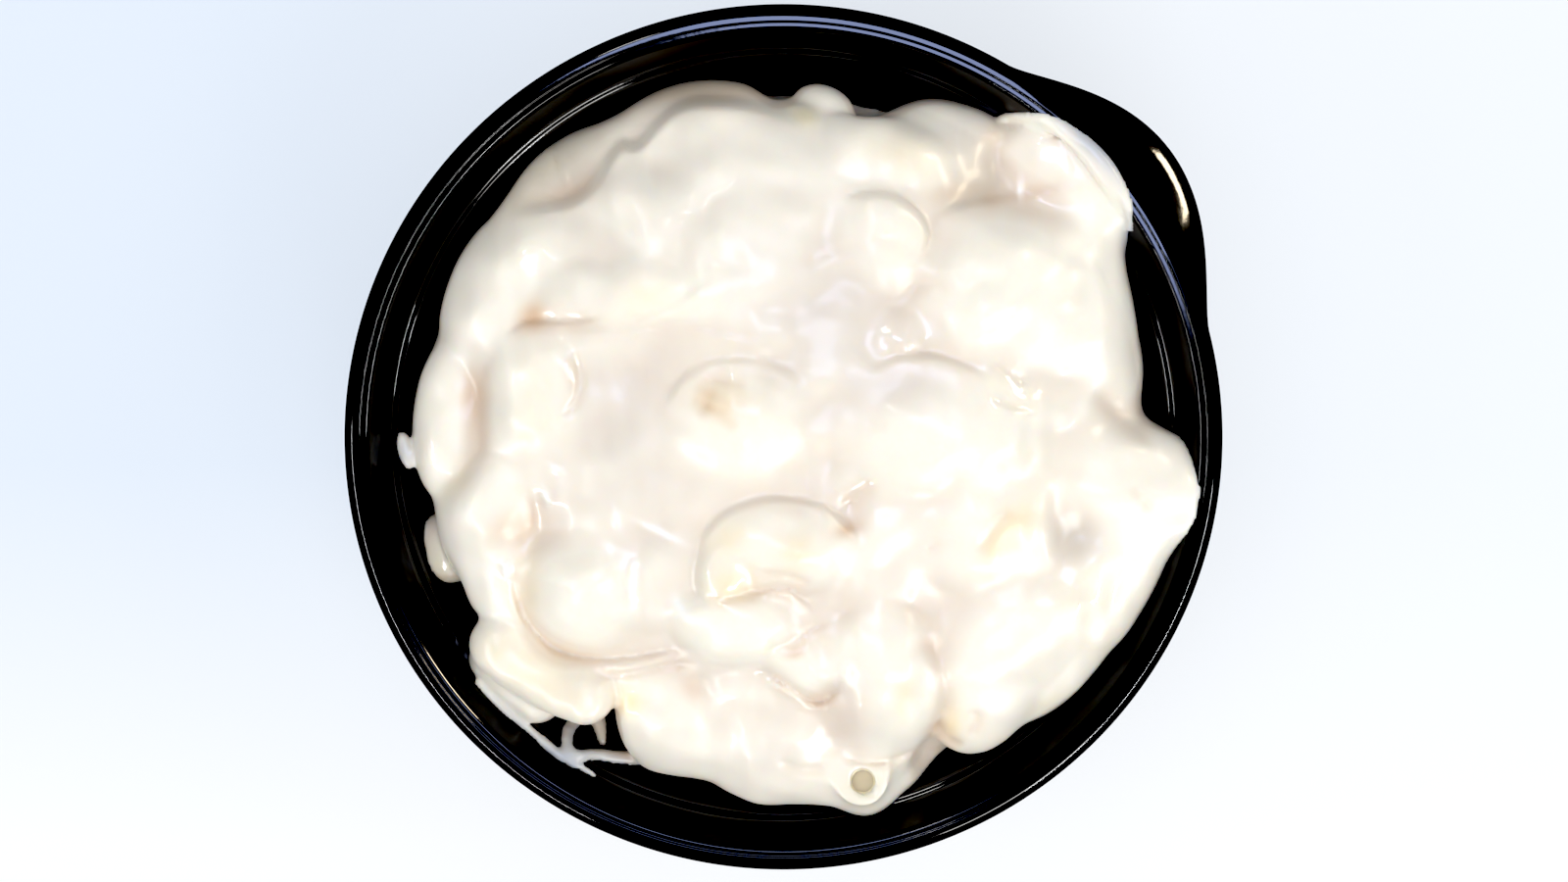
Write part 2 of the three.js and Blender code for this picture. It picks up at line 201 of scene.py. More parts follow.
# Strings of cheese that lie on the sauce are folds of negative depth, and scratches are narrow and shallow.
FOLDS += [(-0.35, 0.8, 0, 4, 0, path) for path in (
    [(-24.3, -10.8), (-21, -12.2), (-17.2, -14.2)], [(-24.8, -17), (-26, -21), (-25.6, -25)],
    [(-28.4, -8.6), (-27.8, -12.2)], [(-39.2, -1.4), (-37.4, -2.6)], [(-40.6, -5.6), (-39.8, -8.6)],
    [(-47.6, -18.6), (-47, -22)], [(-36.4, 16.6), (-35.6, 13.4)], [(39.6, 46.6), (39.8, 42.6)],
)]
FOLDS += [(0.12, 0.45, 0, 3, 0.3, path) for path in (
    [(-15.4, 12.6), (-10.5, 10.8), (-5.6, 9)], [(-15.8, 10.4), (-12, 9.2), (-8.4, 8.4)],
    [(-13.8, 14), (-10, 13.2), (-5.8, 12.8)], [(-13.4, 9.8), (-10.4, 7.6), (-7.4, 5.4)],
    [(-14.4, 7.2), (-12.6, 9.8), (-11.8, 12.6)],
)]

# A fold fades over this share of its length at each end. Its raised side comes up between these places, in
# widths of the crease.
FOLD_FADE = 0.24
FOLD_RISE = (-0.9, 0.3)

# Trails of thin sauce on the bowl's wall and rim: half thickness, and path in plan.
TRAILS = [
    (1.5, [(-38.6, -55.4), (-33.5, -56.4), (-28.6, -57.8), (-22.8, -58.8), (-17, -60.6)]),
    (1.5, [(-38, -55), (-38.4, -52.4), (-36.2, -50.6), (-33.6, -51.8), (-32.4, -55)]),
    (1, [(-53.8, -42.2), (-50.2, -46.4), (-45.2, -50.8), (-39.6, -55.4), (-33.5, -59.4)]),
    (1.4, [(41.2, 55.9), (46.2, 54.2), (49.8, 51), (54.2, 45.8), (56.8, 41), (57.8, 37.8)]),
    (1.2, [(37, 56), (42, 56.7), (48, 54), (52.4, 50.2), (56, 45.2), (58, 41), (58.8, 37.6)]),
]

# Open ends of macaroni: x and y of the mouth, its height over the rim, the heading and the elevation that it
# faces, the length of pasta behind it, and how far short of the mouth its sauce ends (past it if negative).
MOUTHS = [
    (13.8, -58.5, -0.9, 100, 70, 8, -0.5),
]
BORE_DEPTH = 1.8

# Chance swells of the sauce: about how long, and how high each of their waves is.
UNEVEN = [(24, 0.17), (12, 0.09), (5.5, 0.03)]
UNEVEN_WAVES = 7
SEED = 5

# The grid on which the heap's skin is found.
GRID_STEP = 0.59
GRID_HALF_WIDTH = 74.0
GRID_TOP = 62.0

# A height over the slope, or a radius past the wall, overstates the distance to it, so both are scaled.
TOP_SCALE = 0.85
WALL_SCALE = 0.8
# How far the skin of sauce reaches into the wall, so that no gap shows.
WALL_OVERLAP = 0.15

# How the skin is painted, with painted shade in its creases and valleys: the distances at which creases are
# felt for, the reach and depth of a valley, and how far under the rim's top the stains go, and the ground
# beside the heap is taken to lie.
CREASE_REACHES = (1.5, 3.0, 5.0)
VALLEY = dict(reach=6.0, depth=2.4)
STAINED_DEPTH = 12
GROUND_DEPTH = 14

# Steps in each rounded corner of the bowl's outline, and turns round the bowl.
BEND_STEPS = 6
BOWL_TURNS = 480
# Where the bowl is polished: from this far inside the bead, and on the step round this place and width.
POLISH = dict(inside_bead=2.2, past_step=1.0, half_width=1.4)

# ---- helpers


def mesh_object(name, vertices_mm, faces, *materials):
    """A smooth mesh object from points in millimetres."""
    mesh = bpy.data.meshes.new(name)
    points = (np.asarray(vertices_mm, dtype=float) * MM).tolist()
    mesh.from_pydata(points, [], [list(map(int, f)) for f in faces])
    mesh.validate()
    obj = bpy.data.objects.new(name, mesh)
    bpy.context.scene.collection.objects.link(obj)
    mesh.polygons.foreach_set("use_smooth", [True] * len(mesh.polygons))
    for material in materials:
        mesh.materials.append(material)
    return obj


def cos_sin(degrees):
    return math.cos(math.radians(degrees)), math.sin(math.radians(degrees))


def bell(away, reach):
    """1 where away is 0, falling off over reach."""
    return np.exp(-((away / reach) ** 2))


# ---- the bowl


def rounded(corners):
    """An outline of (r, z, fillet) corners, each rounded off with a smooth bend."""
    out = []
    count = len(corners)
    for i, (r, z, fillet) in enumerate(corners):
        here = Vector((r, z))
        if fillet == 0 or i in (0, count - 1):
            out.append(here)
            continue
        before = Vector(corners[i - 1][:2]) - here
        after = Vector(corners[i + 1][:2]) - here
        cut = min(fillet, before.length * 0.48, after.length * 0.48)
        start, end = here + before.normalized() * cut, here + after.normalized() * cut
        for k in range(BEND_STEPS + 1):
            t = k / BEND_STEPS
            out.append(start * (1 - t) ** 2 + here * 2 * t * (1 - t) + end * t * t)
    return out


def wall_line(offset):
    """The wall's inside from the floor's edge to the step, moved out by offset."""
    b = BOWL
    run = b["step_radius"] - b["floor_radius"] - b["corner_radius"]
    rise = b["step_height"] - b["floor_height"] - b["corner_radius"]
    slope = math.atan2(run, rise)
    centre = (b["floor_radius"], b["floor_height"] + b["corner_radius"])
    radius = b["corner_radius"] + offset
    points = []
    steps = 2 * BEND_STEPS
    for k in range(steps + 1):
        angle = -math.pi / 2 + (math.pi / 2 - slope) * k / steps
        points.append((centre[0] + radius * math.cos(angle), centre[1] + radius * math.sin(angle), 0))
    top = (b["step_radius"] + offset * math.cos(slope), b["step_height"] - offset * math.sin(slope), 0.5)
    return points + [top]


def tab_reach(angle):
    """How far the tab draws the lip out at an angle in radians."""
    away = (math.degrees(angle) - TAB["heading"] + 180) % 360 - 180
    if abs(away) >= TAB["half_angle"]:
        return 0.0
    return TAB["reach"] * math.cos(math.radians(90 * away / TAB["half_angle"])) ** TAB["fullness"]


def bowl_profile():
    """The bowl's closed outline as (r, z) points and, for each, its share of the tab's reach."""
    b = BOWL
    ledge = b["step_radius"] + b["step_width"]
    flange = b["bead_radius"] - b["bead_width"]
    rim, wall, height = b["rim_radius"], b["wall"], b["height"]
    inside = [
        (0, b["floor_height"], 0), *wall_line(0),
        (ledge, b["step_height"] + 0.5, 0.5),
        (flange - 0.5, height - 0.7, 0.4),
        (flange + 0.1, height - 0.22, 0.25),
        (flange + 0.95, height - 0.22, 0.15),
        (flange + 1.15, height, 0.2),
    ]
    lip = [
        (b["bead_radius"] + 0.35, height, 0.5, 0.35),
        (rim, height - 1.2, 1.2, 0.95),
        (rim, height - b["lip_depth"], 0.3, 1.0),
        (rim - wall * 0.7, height - b["lip_depth"], 0.3, 0.92),
    ]
    outside = [
        (rim - wall - 0.3, height - wall - 0.7, 0.5),
        (flange + 0.4, height - wall - 0.5, 0.5),
        (ledge + wall, b["step_height"] - 0.2, 0.8),
        *reversed(wall_line(wall)),
        (b["foot_radius"] + b["foot_width"], 0, 0.3), (b["foot_radius"], 0, 0.3),
        (b["foot_radius"] - 0.8, b["floor_height"] - wall, 0.3), (0, b["floor_height"] - wall, 0),
    ]
    corners = inside + [c[:3] for c in lip] + outside
    shares = [0.0] * len(inside) + [c[3] for c in lip] + [0.25] + [0.0] * (len(outside) - 1)
    line = rounded(corners)
    share = rounded([(i, s, 0.9) for i, s in enumerate(shares)])
    index = np.array([p.x for p in share])
    value = np.array([p.y for p in share])
    # Each outline point takes the share of the corner that it is nearest to, blended along the outline.
    at = []
    for p in line:
        gaps = [(p.x - c[0]) ** 2 + (p.y - c[1]) ** 2 for c in corners]
        near = int(np.argmin(gaps))
        best = near
        for other in (near - 1, near + 1):
            if 0 <= other < len(corners):
                a, c = Vector(corners[near][:2]), Vector(corners[other][:2])
                t = (p - a).dot(c - a) / max((c - a).length_squared, 1e-9)
                if 0 < t <= 0.5:
                    best = near + t * (other - near)
        at.append(float(np.interp(best, index, value)))
    return line, at


def make_bowl(satin, polished):
    """The bowl as a fine mesh of revolution, with the tab drawn out of its lip."""
    line, shares = bowl_profile()
    vertices, faces = [(0, 0, line[0].y), (0, 0, line[-1].y)], []
    inner = len(line) - 2
    for k in range(BOWL_TURNS):
        angle = 2 * math.pi * k / BOWL_TURNS
        reach = tab_reach(angle)
        for p, share in zip(line[1:-1], shares[1:-1]):
            r = p.x + share * reach
            z = p.y - share * reach * TAB["droop"] / TAB["reach"]
            vertices.append((r * math.cos(angle), r * math.sin(angle), z))
    for k in range(BOWL_TURNS):
        here, there = 2 + k * inner, 2 + (k + 1) % BOWL_TURNS * inner
        faces.append((0, here, there))
        faces.append((1, there + inner - 1, here + inner - 1))
        for i in range(inner - 1):
            faces.append((here + i, here + i + 1, there + i + 1, there + i))
    obj = mesh_object("bowl_shell", vertices, faces, satin, polished)
    for face in obj.data.polygons:
        radius = math.hypot(face.center.x, face.center.y) / MM
        on_rim = radius > BOWL["bead_radius"] - POLISH["inside_bead"]
        on_step = abs(radius - BOWL["step_radius"] - POLISH["past_step"]) < POLISH["half_width"]
        face.material_index = int(face.normal.z > 0 and (on_rim or on_step))
    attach(obj, "root")
    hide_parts("bowl")


# ---- the heap


def sauce_top(x, y):
    """Height of the sauce over the rim's top at places in plan."""
    s = SAUCE
    r = np.minimum(np.hypot(x, y), s["level_from"])
    z = s["crown"] - s["fall"] * (r / s["shoulder"]) ** s["steepness"]
    for sx, sy, reach, rise in SWELLS:
        z = z + rise * bell(np.hypot(x - sx, y - sy), reach)
    return z


def side_radius(x, y):
    """Radius of the heap's side towards places in plan."""
    heading = np.degrees(np.arctan2(y, x))
    r = SAUCE["side"] + 0 * x
    for to, width, reach in LOBES:
        r = r + reach * bell((heading - to + 180) % 360 - 180, width)
    return r


def smooth_min(a, b, k):
    """The smaller of two fields, with the crease between them filled in over k."""
    h = np.clip(0.5 + 0.5 * (b - a) / k, 0, 1)
    return b * (1 - h) + a * h - k * h * (1 - h)


def smooth_step(low, high, x):
    t = np.clip((x - low) / (high - low), 0, 1)
    return t * t * (3 - 2 * t)


def slope_frame(x, y, heading):
    """Directions on the sauce's slope: along a heading, to its left, and up."""
    span, steepest = 1.5, 0.7
    c, s = cos_sin(heading)
    ways = []
    for way in (np.array([c, s, 0.0]), np.array([-s, c, 0.0])):
        ends = [sauce_top(x + way[0] * d, y + way[1] * d) for d in (-span, span)]
        way[2] = np.clip((ends[1] - ends[0]) / (2 * span), -steepest, steepest)
        ways.append(way)
    along, left = ways
    along /= np.linalg.norm(along)
    left = left - along * left.dot(along)
    left /= np.linalg.norm(left)
    return along, left, np.cross(along, left)


def components(x, y, z, origin, ways):
    """How far places are from an origin along each of some directions."""
    q = (x - origin[0], y - origin[1], z - origin[2])
    return [sum(a * b for a, b in zip(q, way)) for way in ways]


# Each shape in the sauce has a middle, a reach in plan that takes in its blend with the sauce, a softness of
# that blend, and a distance to places.


class Elbow:
    """One coated elbow of macaroni: where its centre line runs, and how far places are from it."""

    blend = 7
    end_radius = 2.5

    def __init__(self, x, y, heading, lean, bend, proud, coat, length, softness):
        self.along, left, up = slope_frame(x, y, heading)
        c, s = cos_sin(lean)
        self.inward = left * c + up * s
        self.across = np.cross(self.along, self.inward)
        self.middle = np.array([x, y, RIM + float(sauce_top(x, y)) + proud])
        self.bend, self.coat, self.length, self.softness = bend, coat, length, softness
        self.centre = self.middle + bend * self.inward
        self.reach = length / 2 + PASTA["girth"] + self.blend

    def distance(self, x, y, z):
        u, v, w = components(x, y, z, self.centre, (self.along, -self.inward, self.across))
        half = (self.length / 2 - self.end_radius) / self.bend
        turn = np.clip(np.arctan2(u, v), -half, half)
        nu, nv = self.bend * np.sin(turn), self.bend * np.cos(turn)
        return np.sqrt((u - nu) ** 2 + (v - nv) ** 2 + w ** 2) - PASTA["girth"] - self.coat


class Trail:
    """A trail of thin sauce that has run along the bowl's wall, thin at its ends and a little uneven."""

    softness = 0.8
    blend = 2
    # Spacing of its balls, how softly they join, how far over the wall they lie, and over the rim at most.
    gap, joint, over_wall, over_rim = 0.7, 0.4, 0.2, 0.5

    def __init__(self, girth, path):
        plan = curve_through(path, self.gap)
        heights = wall_height(np.hypot(plan[:, 0], plan[:, 1])) + self.over_wall
        self.points = np.column_stack([plan, np.minimum(heights, RIM + self.over_rim)])
        share = np.linspace(0, 1, len(plan))
        self.girths = girth * (0.6 + 0.4 * np.sin(math.pi * share)) * (1 + 0.12 * np.sin(9 * share + girth))
        low, high = self.points.min(axis=0), self.points.max(axis=0)
        self.middle = (low + high) / 2
        self.reach = (high - low).max() / 2 + girth + self.blend

    def distance(self, x, y, z):
        best = None
        for (px, py, pz), girth in zip(self.points, self.girths):
            away = np.sqrt((x - px) ** 2 + (y - py) ** 2 + (z - pz) ** 2) - girth
            best = away if best is None else smooth_min(best, away, self.joint)
        return best


class Macaroni:
    """An elbow whose open end shows: the sauce on it, its bore, and its own mesh."""

    softness = 3.0
    blend = 4
    bend = 26.0
    coat = 0.6
    # The mouth's rounded edge. The hole in the sauce: its start in front of the mouth, how much wider than
    # the bore it is there, how far in that part ends, and where the part along the bore starts.
    edge = 0.35
    clear, wider, front_end, bore_start = 4.0, 0.2, 0.6, 0.3

    def __init__(self, x, y, height, heading, elevation, length, bared):
        (across, along), (level, up) = cos_sin(heading), cos_sin(elevation)
        self.out = np.array([level * across, level * along, up])
        self.turn = np.array([-up * across, -up * along, level])
        self.across = np.cross(self.out, self.turn)
        self.middle = np.array([x, y, RIM + height])
        self.centre = self.middle + self.bend * self.turn
        self.length, self.bared = length, bared
        self.reach = length + PASTA["girth"] + self.blend

    def local(self, x, y, z):
        """Length of pasta behind the mouth, and distance from the centre line."""
        u, v, w = components(x, y, z, self.centre, (-self.out, -self.turn, self.across))
        return self.bend * np.arctan2(u, v), np.hypot(np.hypot(u, v) - self.bend, w)

    def distance(self, x, y, z):
        behind, away = self.local(x, y, z)
        past = np.maximum(behind - self.length, 0)
        return np.maximum(np.hypot(away, past) - PASTA["girth"] - self.coat, self.bared - behind)

    def hollow(self, x, y, z):
        """Positive in the bore and in front of the mouth, where there is no sauce."""
        behind, away = self.local(x, y, z)
        along_bore = np.minimum(behind - self.bore_start, BORE_DEPTH - behind)
        along_front = np.minimum(behind + self.clear, self.front_end - behind)
        bore = np.minimum((PASTA["bore"] + PASTA["girth"]) / 2 - away, along_bore)
        return np.maximum(bore, np.minimum(PASTA["bore"] + self.wider - away, along_front))

    def rings(self):
        """Rings of the pasta's own skin, from the back of its outside round the mouth to the bore's back."""
        girth, bore, edge = PASTA["girth"], PASTA["bore"], self.edge
        steps = [self.length * (1 - k / 10) for k in range(10)]
        line = [(s, girth) for s in steps]
        line += [(edge, girth), (edge * 0.3, girth - edge * 0.3), (0, girth - edge), (0, bore + edge)]
        line += [(edge * 0.3, bore + edge * 0.3), (edge, bore)]
        line += [(s, bore) for s in reversed(steps)]
        for behind, radius in line:
            t = behind / self.bend
            aside = self.out * math.sin(t) + self.turn * math.cos(t)
            yield self.centre - self.bend * aside, radius, aside


class Lump:
    """A lump deep in the sauce: an ellipsoid that lies along the slope."""

    blend = 4

    def __init__(self, x, y, half_length, half_width, heading, rise, softness, tilt=0):
        along, left, up = slope_frame(x, y, heading)
        c, s = cos_sin(tilt)
        thick = LUMP_FLATNESS * half_width
        self.ways = (along * c + up * s, left, up * c - along * s)
        self.axes = (half_length, half_width, thick)
        self.middle = np.array([x, y, RIM + float(sauce_top(x, y))]) + up * (rise - thick)
        self.softness = softness
        self.reach = max(half_length, half_width) + softness + self.blend

    def distance(self, x, y, z):
        near, steep = 0, 0
        for part, axis in zip(components(x, y, z, self.middle, self.ways), self.axes):
            part = part / axis
            near = near + part ** 2
            steep = steep + (part / axis) ** 2
        near = np.sqrt(near)
        return near * (near - 1) / np.maximum(np.sqrt(steep), 1e-6)


def curve_through(points, gap=0.5):
    """Points every `gap` or so along a smooth curve through given ones."""
    p = np.array([points[0], *points, points[-1]], dtype=float)
    out = []
    for a, b, c, d in zip(p, p[1:], p[2:], p[3:]):
        count = max(2, int(np.hypot(*(c - b)) / gap))
        t = (np.arange(count) / count)[:, None]
        bend, twist = 2 * a - 5 * b + 4 * c - d, 3 * b - a - 3 * c + d
        out.append(0.5 * (2 * b + (c - a) * t + bend * t ** 2 + twist * t ** 3))
    return np.vstack([*out, p[-1:]])


def from_curve(x, y, curve):
    """Signed distance to a curve (right of it is positive), and the share of its length passed there."""
    best = np.full(x.shape, 1e9)
    side = np.zeros(x.shape)
    share = np.zeros(x.shape)
    for i, (a, b) in enumerate(zip(curve[:-1], curve[1:])):
        step = b - a
        length = step.dot(step)
        t = np.clip(((x - a[0]) * step[0] + (y - a[1]) * step[1]) / length, 0, 1)
        dx, dy = x - a[0] - t * step[0], y - a[1] - t * step[1]
        away = np.hypot(dx, dy)
        nearer = away < best
        best = np.where(nearer, away, best)
        side = np.where(nearer, dx * step[1] - dy * step[0], side)
        share = np.where(nearer, (i + t) / (len(curve) - 1), share)
    return best * np.where(side < 0, -1, 1), share


def uneven(x, y):
    """Chance swells of the sauce: a few waves of each length, each with its own heading."""
    rng = np.random.default_rng(SEED)
    height = 0
    for length, size in UNEVEN:
        for _ in range(UNEVEN_WAVES):
            heading, phase = rng.uniform(0, 2 * math.pi, 2)
            along = x * math.cos(heading) + y * math.sin(heading)
            height = height + size * np.sin(2 * math.pi * along / (length * rng.uniform(0.7, 1.4)) + phase)
    return height


def blurred(layer, spread):
    """A grid in plan, blurred over a spread in cells: along one way, turned, and along the other."""
    reach = int(3 * spread)
    weights = bell(np.arange(-reach, reach + 1), spread * math.sqrt(2))
    for _ in range(2):
        padded = np.pad(layer, ((reach, reach), (0, 0)), mode="edge")
        layer = sum(w * padded[i:i + len(layer)] for i, w in enumerate(weights / weights.sum())).T
    return layer


def make_folds(xs, ys):
    """The folds on a grid in plan: how much they lift the sauce, and how much dark tan painted shade lies in
    them.
    """
    lift = np.zeros((len(xs), len(ys)))
    brown_shade = np.zeros_like(lift)
    for depth, width, rise, reach, tan, path in FOLDS:
        curve = curve_through(path)
        margin = max(3 * width, 2.5 * reach if rise else 0) + 1
        low, high = curve.min(axis=0) - margin, curve.max(axis=0) + margin
        i0, i1 = np.searchsorted(xs, (low[0], high[0]))
        j0, j1 = np.searchsorted(ys, (low[1], high[1]))
        x, y = np.meshgrid(xs[i0:i1], ys[j0:j1], indexing="ij")
        away, share = from_curve(x, y, curve)
        fade = smooth_step(0, FOLD_FADE, share) * smooth_step(0, FOLD_FADE, 1 - share)
        part = -depth * bell(away, width)
        if rise:
            side = away * math.copysign(1, rise)
            start, end = (width * place for place in FOLD_RISE)
            part = part + rise * smooth_step(start, end, side) * np.exp(-np.abs(away) / reach)
        lift[i0:i1, j0:j1] += part * fade
        brown_shade[i0:i1, j0:j1] += tan * bell(away, 1.7 * width + 0.3) * fade
    return lift, brown_shade


def between_cells(values, places):
    """Values of a grid at places counted in cells, blended between the cells round them."""
    low = np.clip(np.floor(places).astype(int), 0, np.array(values.shape) - 2)
    past = np.clip(places - low, 0, 1)
    total = np.zeros(len(places))
    for corner in np.ndindex(*[2] * values.ndim):
        weight = np.prod(np.where(corner, past, 1 - past), axis=1)
        total += weight * values[tuple((low + corner).T)]
    return total


class Field:
    """Signed distance to the heap's skin on a regular grid."""

    def __init__(self, shapes):
        low = np.array([-GRID_HALF_WIDTH, -GRID_HALF_WIDTH, SAUCE["foot"] - 2])
        high = np.array([GRID_HALF_WIDTH, GRID_HALF_WIDTH, GRID_TOP])
        self.step, self.low = GRID_STEP, low
        self.xs, self.ys, self.zs = (np.arange(a, b, GRID_STEP) for a, b in zip(low, high))
        self.lift, self.brown_shade = make_folds(self.xs, self.ys)
        self.lift += uneven(self.xs[:, None], self.ys[None, :])
        x, y, z = self.xs[:, None, None], self.ys[None, :, None], self.zs[None, None, :]
        flat_x, flat_y = x[:, :, 0], y[:, :, 0]
        warped = z - self.lift[:, :, None]
        top = (warped - RIM - sauce_top(flat_x, flat_y)[:, :, None]) * TOP_SCALE
        side = (np.hypot(flat_x, flat_y) - side_radius(flat_x, flat_y))[:, :, None]
        # Low down, where the bowl hides it, the sauce spreads out to the wall.
        side = side - SAUCE["flare"] * np.maximum(SAUCE["flare_from"] - z, 0)
        d = -smooth_min(-top, -side, SAUCE["edge_round"])
        for shape in shapes:
            i, j = self.near(shape)
            d[i, j] = smooth_min(shape.distance(x[i], y[:, j], warped[i, j]), d[i, j], shape.softness)
        past_wall = np.hypot(flat_x, flat_y)[:, :, None] - wall_radius(z) - WALL_OVERLAP
        d = np.maximum(d, past_wall * WALL_SCALE)
        for shape in shapes:
            if isinstance(shape, Macaroni):
                i, j = self.near(shape)
                d[i, j] = np.maximum(d[i, j], shape.hollow(x[i], y[:, j], z))
        self.values = np.maximum(d, SAUCE["foot"] - z)

    def near(self, shape):
        """The parts of the grid's x and y that a shape reaches."""
        return [
            slice(*np.searchsorted(places, (middle - shape.reach, middle + shape.reach)))
            for places, middle in ((self.xs, shape.middle[0]), (self.ys, shape.middle[1]))
        ]

    def at(self, points):
        """Values at points."""
        return between_cells(self.values, (points - self.low) / self.step)

    def in_plan(self, layer, points):
        """Values of a grid in plan at points."""
        return between_cells(layer, (points[:, :2] - self.low[:2]) / self.step)

    def relief(self, reach):
        """How far the skin stands over its surroundings, on the grid in plan."""
        solid = self.values[:, :, ::-1] < 0
        top = self.zs[-1] - self.step * np.argmax(solid, axis=2)
        top = np.where(solid.any(axis=2), top, RIM - GROUND_DEPTH)
        return blurred(top, 1.0 / self.step) - blurred(top, reach / self.step)

    def skin(self):
        """The skin as vertices and quads that face out."""
        band = 3 * self.step
        grid = openvdb.FloatGrid(band)
        grid.copyFromArray(np.clip(self.values, -band, band).astype(np.float32))
        vertices, quads = grid.convertToQuads(isovalue=0.0)
        return one_floor(np.array(vertices) * self.step + self.low, np.array(quads))


def one_floor(vertices, quads):
    """The skin with its flat floor, which the bowl hides, as one face in place of many quads."""
    flat = np.all(vertices[quads][:, :, 2] < SAUCE["foot"] + 0.01, axis=1)
    edges = set(zip(quads[flat].ravel().tolist(), np.roll(quads[flat], -1, axis=1).ravel().tolist()))
    after = {a: b for a, b in edges if (b, a) not in edges}
    loop = [min(after)]
    while after[loop[-1]] != loop[0]:
        loop.append(after[loop[-1]])
    used, places = np.unique(np.concatenate([quads[~flat].ravel(), loop]), return_inverse=True)
    rest = 4 * np.count_nonzero(~flat)
    return vertices[used], [*places[:rest].reshape(-1, 4).tolist(), places[rest:].tolist()]


def inside_line():
    """The bowl's inside as (radius, height) points, as far as the food may reach."""
    b = BOWL
    line = [p[:2] for p in wall_line(0)] + [
        (b["step_radius"] + b["step_width"], b["step_height"] + 0.5),
        (b["bead_radius"] - b["bead_width"], b["height"] - 0.3),
        (b["bead_radius"] - 0.4, b["height"] + 0.05),
        (b["rim_radius"], b["height"] + 0.2),
    ]
    return np.array(line).T


def wall_radius(z):
    """Radius of the bowl's inside at a height."""
    radii, heights = inside_line()
    return np.interp(z, heights, radii)


def wall_height(r):
    """Height of the bowl's inside at a radius."""
    radii, heights = inside_line()
    return np.interp(r, radii, heights)


def make_heap(material):
    """The skin of sauce over the macaroni, down to where the bowl hides it."""
    shapes = [Lump(*row) for row in LUMPS] + [Elbow(*row) for row in SHOWING]
    shapes += [Trail(*row) for row in TRAILS] + [Macaroni(*row) for row in MOUTHS]
    field = Field(shapes)
    vertices, quads = field.skin()
    obj = mesh_object("macaroni_and_cheese_heap", vertices, quads, material)
    paint_heap(obj, vertices, field)
    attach(obj, "root")
    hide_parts("macaroni_and_cheese")


def make_macaroni(material):
    """The macaroni whose open ends show, as real tubes."""
    sides = PASTA["sides"]
    vertices, faces = [], []
    for row in MOUTHS:
        piece = Macaroni(*row)
        rings = list(piece.rings())
        start = len(vertices)
        for middle, radius, aside in rings:
            for k in range(sides):
                angle = 2 * math.pi * k / sides
                vertices.append(middle + radius * (aside * math.cos(angle) + piece.across * math.sin(angle)))
        for i in range(len(rings)):
            here, there = start + i * sides, start + (i + 1) % len(rings) * sides
            for k in range(sides):
                after = (k + 1) % sides
                faces.append((here + k, there + k, there + after, here + after))
    obj = mesh_object("macaroni_ends", vertices, faces, material)
    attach(obj, "root")
    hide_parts("macaroni_and_cheese")


def paint_heap(obj, vertices, field):
    """Point attributes of the skin: how deep in a crease or valley, which becomes painted shade, how wet, and
    how much of each tint.
    """
    mesh = obj.data
    normals = np.empty(len(vertices) * 3)
    mesh.vertices.foreach_get("normal", normals)
    normals = normals.reshape(-1, 3)
    shade = np.zeros(len(vertices))
    for reach in CREASE_REACHES:
        shade += 1 - np.clip(field.at(vertices + normals * reach) / reach, 0, 1)
    over = vertices[:, 2] > RIM - STAINED_DEPTH
    # How far the skin lies below its surroundings, which the sauce's colour turns into painted shade.
    valley = 0.5 - field.in_plan(field.relief(VALLEY["reach"]), vertices) / VALLEY["depth"]
    layers = {"crease": shade / len(CREASE_REACHES), "valley": valley}
    # The folds' dark tan painted shade; the stains of this tint are added to it below.
    layers["brown_shade"] = field.in_plan(field.brown_shade, vertices) * over
    for name, stains in STAINS.items():
        spots = np.zeros(len(vertices))
        for x, y, half_length, half_width, heading, amount in stains:
            c, s = cos_sin(heading)
            u = ((vertices[:, 0] - x) * c + (vertices[:, 1] - y) * s) / half_length
            v = ((vertices[:, 1] - y) * c - (vertices[:, 0] - x) * s) / half_width
            spots += amount * bell(np.hypot(u, v), 1) * over
        layers[name] = layers.get(name, 0) + spots
    for name, values in layers.items():
        layer = mesh.attributes.new(name, "FLOAT", "POINT")
        layer.data.foreach_set("value", np.clip(values, 0, 1).astype(np.float32))


# ---- materials

# Colours that the sauce takes on: name, colour, and the greatest share of it. Several are painted light: dark
# tan, dark greenish, drab and deep painted shade in creases, holes and low places, a pinkish one partly
# painted shade, and bright painted highlights on the strings of cheese; the cream is partly painted light.
# The yellow is pasta through thin sauce, and the film is thin sauce on the bowl.
TINTS = [
    ("cream", (0.96, 0.92, 0.80), 1.0),
    ("brown_shade", (0.60, 0.36, 0.18), 0.75),
    ("yellow", (0.93, 0.74, 0.40), 0.8),
    ("olive_shade", (0.62, 0.56, 0.34), 0.8),
    ("grey_shade", (0.66, 0.60, 0.54), 0.6),
    ("pink", (0.84, 0.66, 0.55), 0.6),
    ("deep_shade", (0.47, 0.42, 0.33), 0.7),
    ("painted_glint", (1.0, 1.0, 1.0), 1.0),
    ("film", (0.42, 0.46, 0.53), 0.9),
]

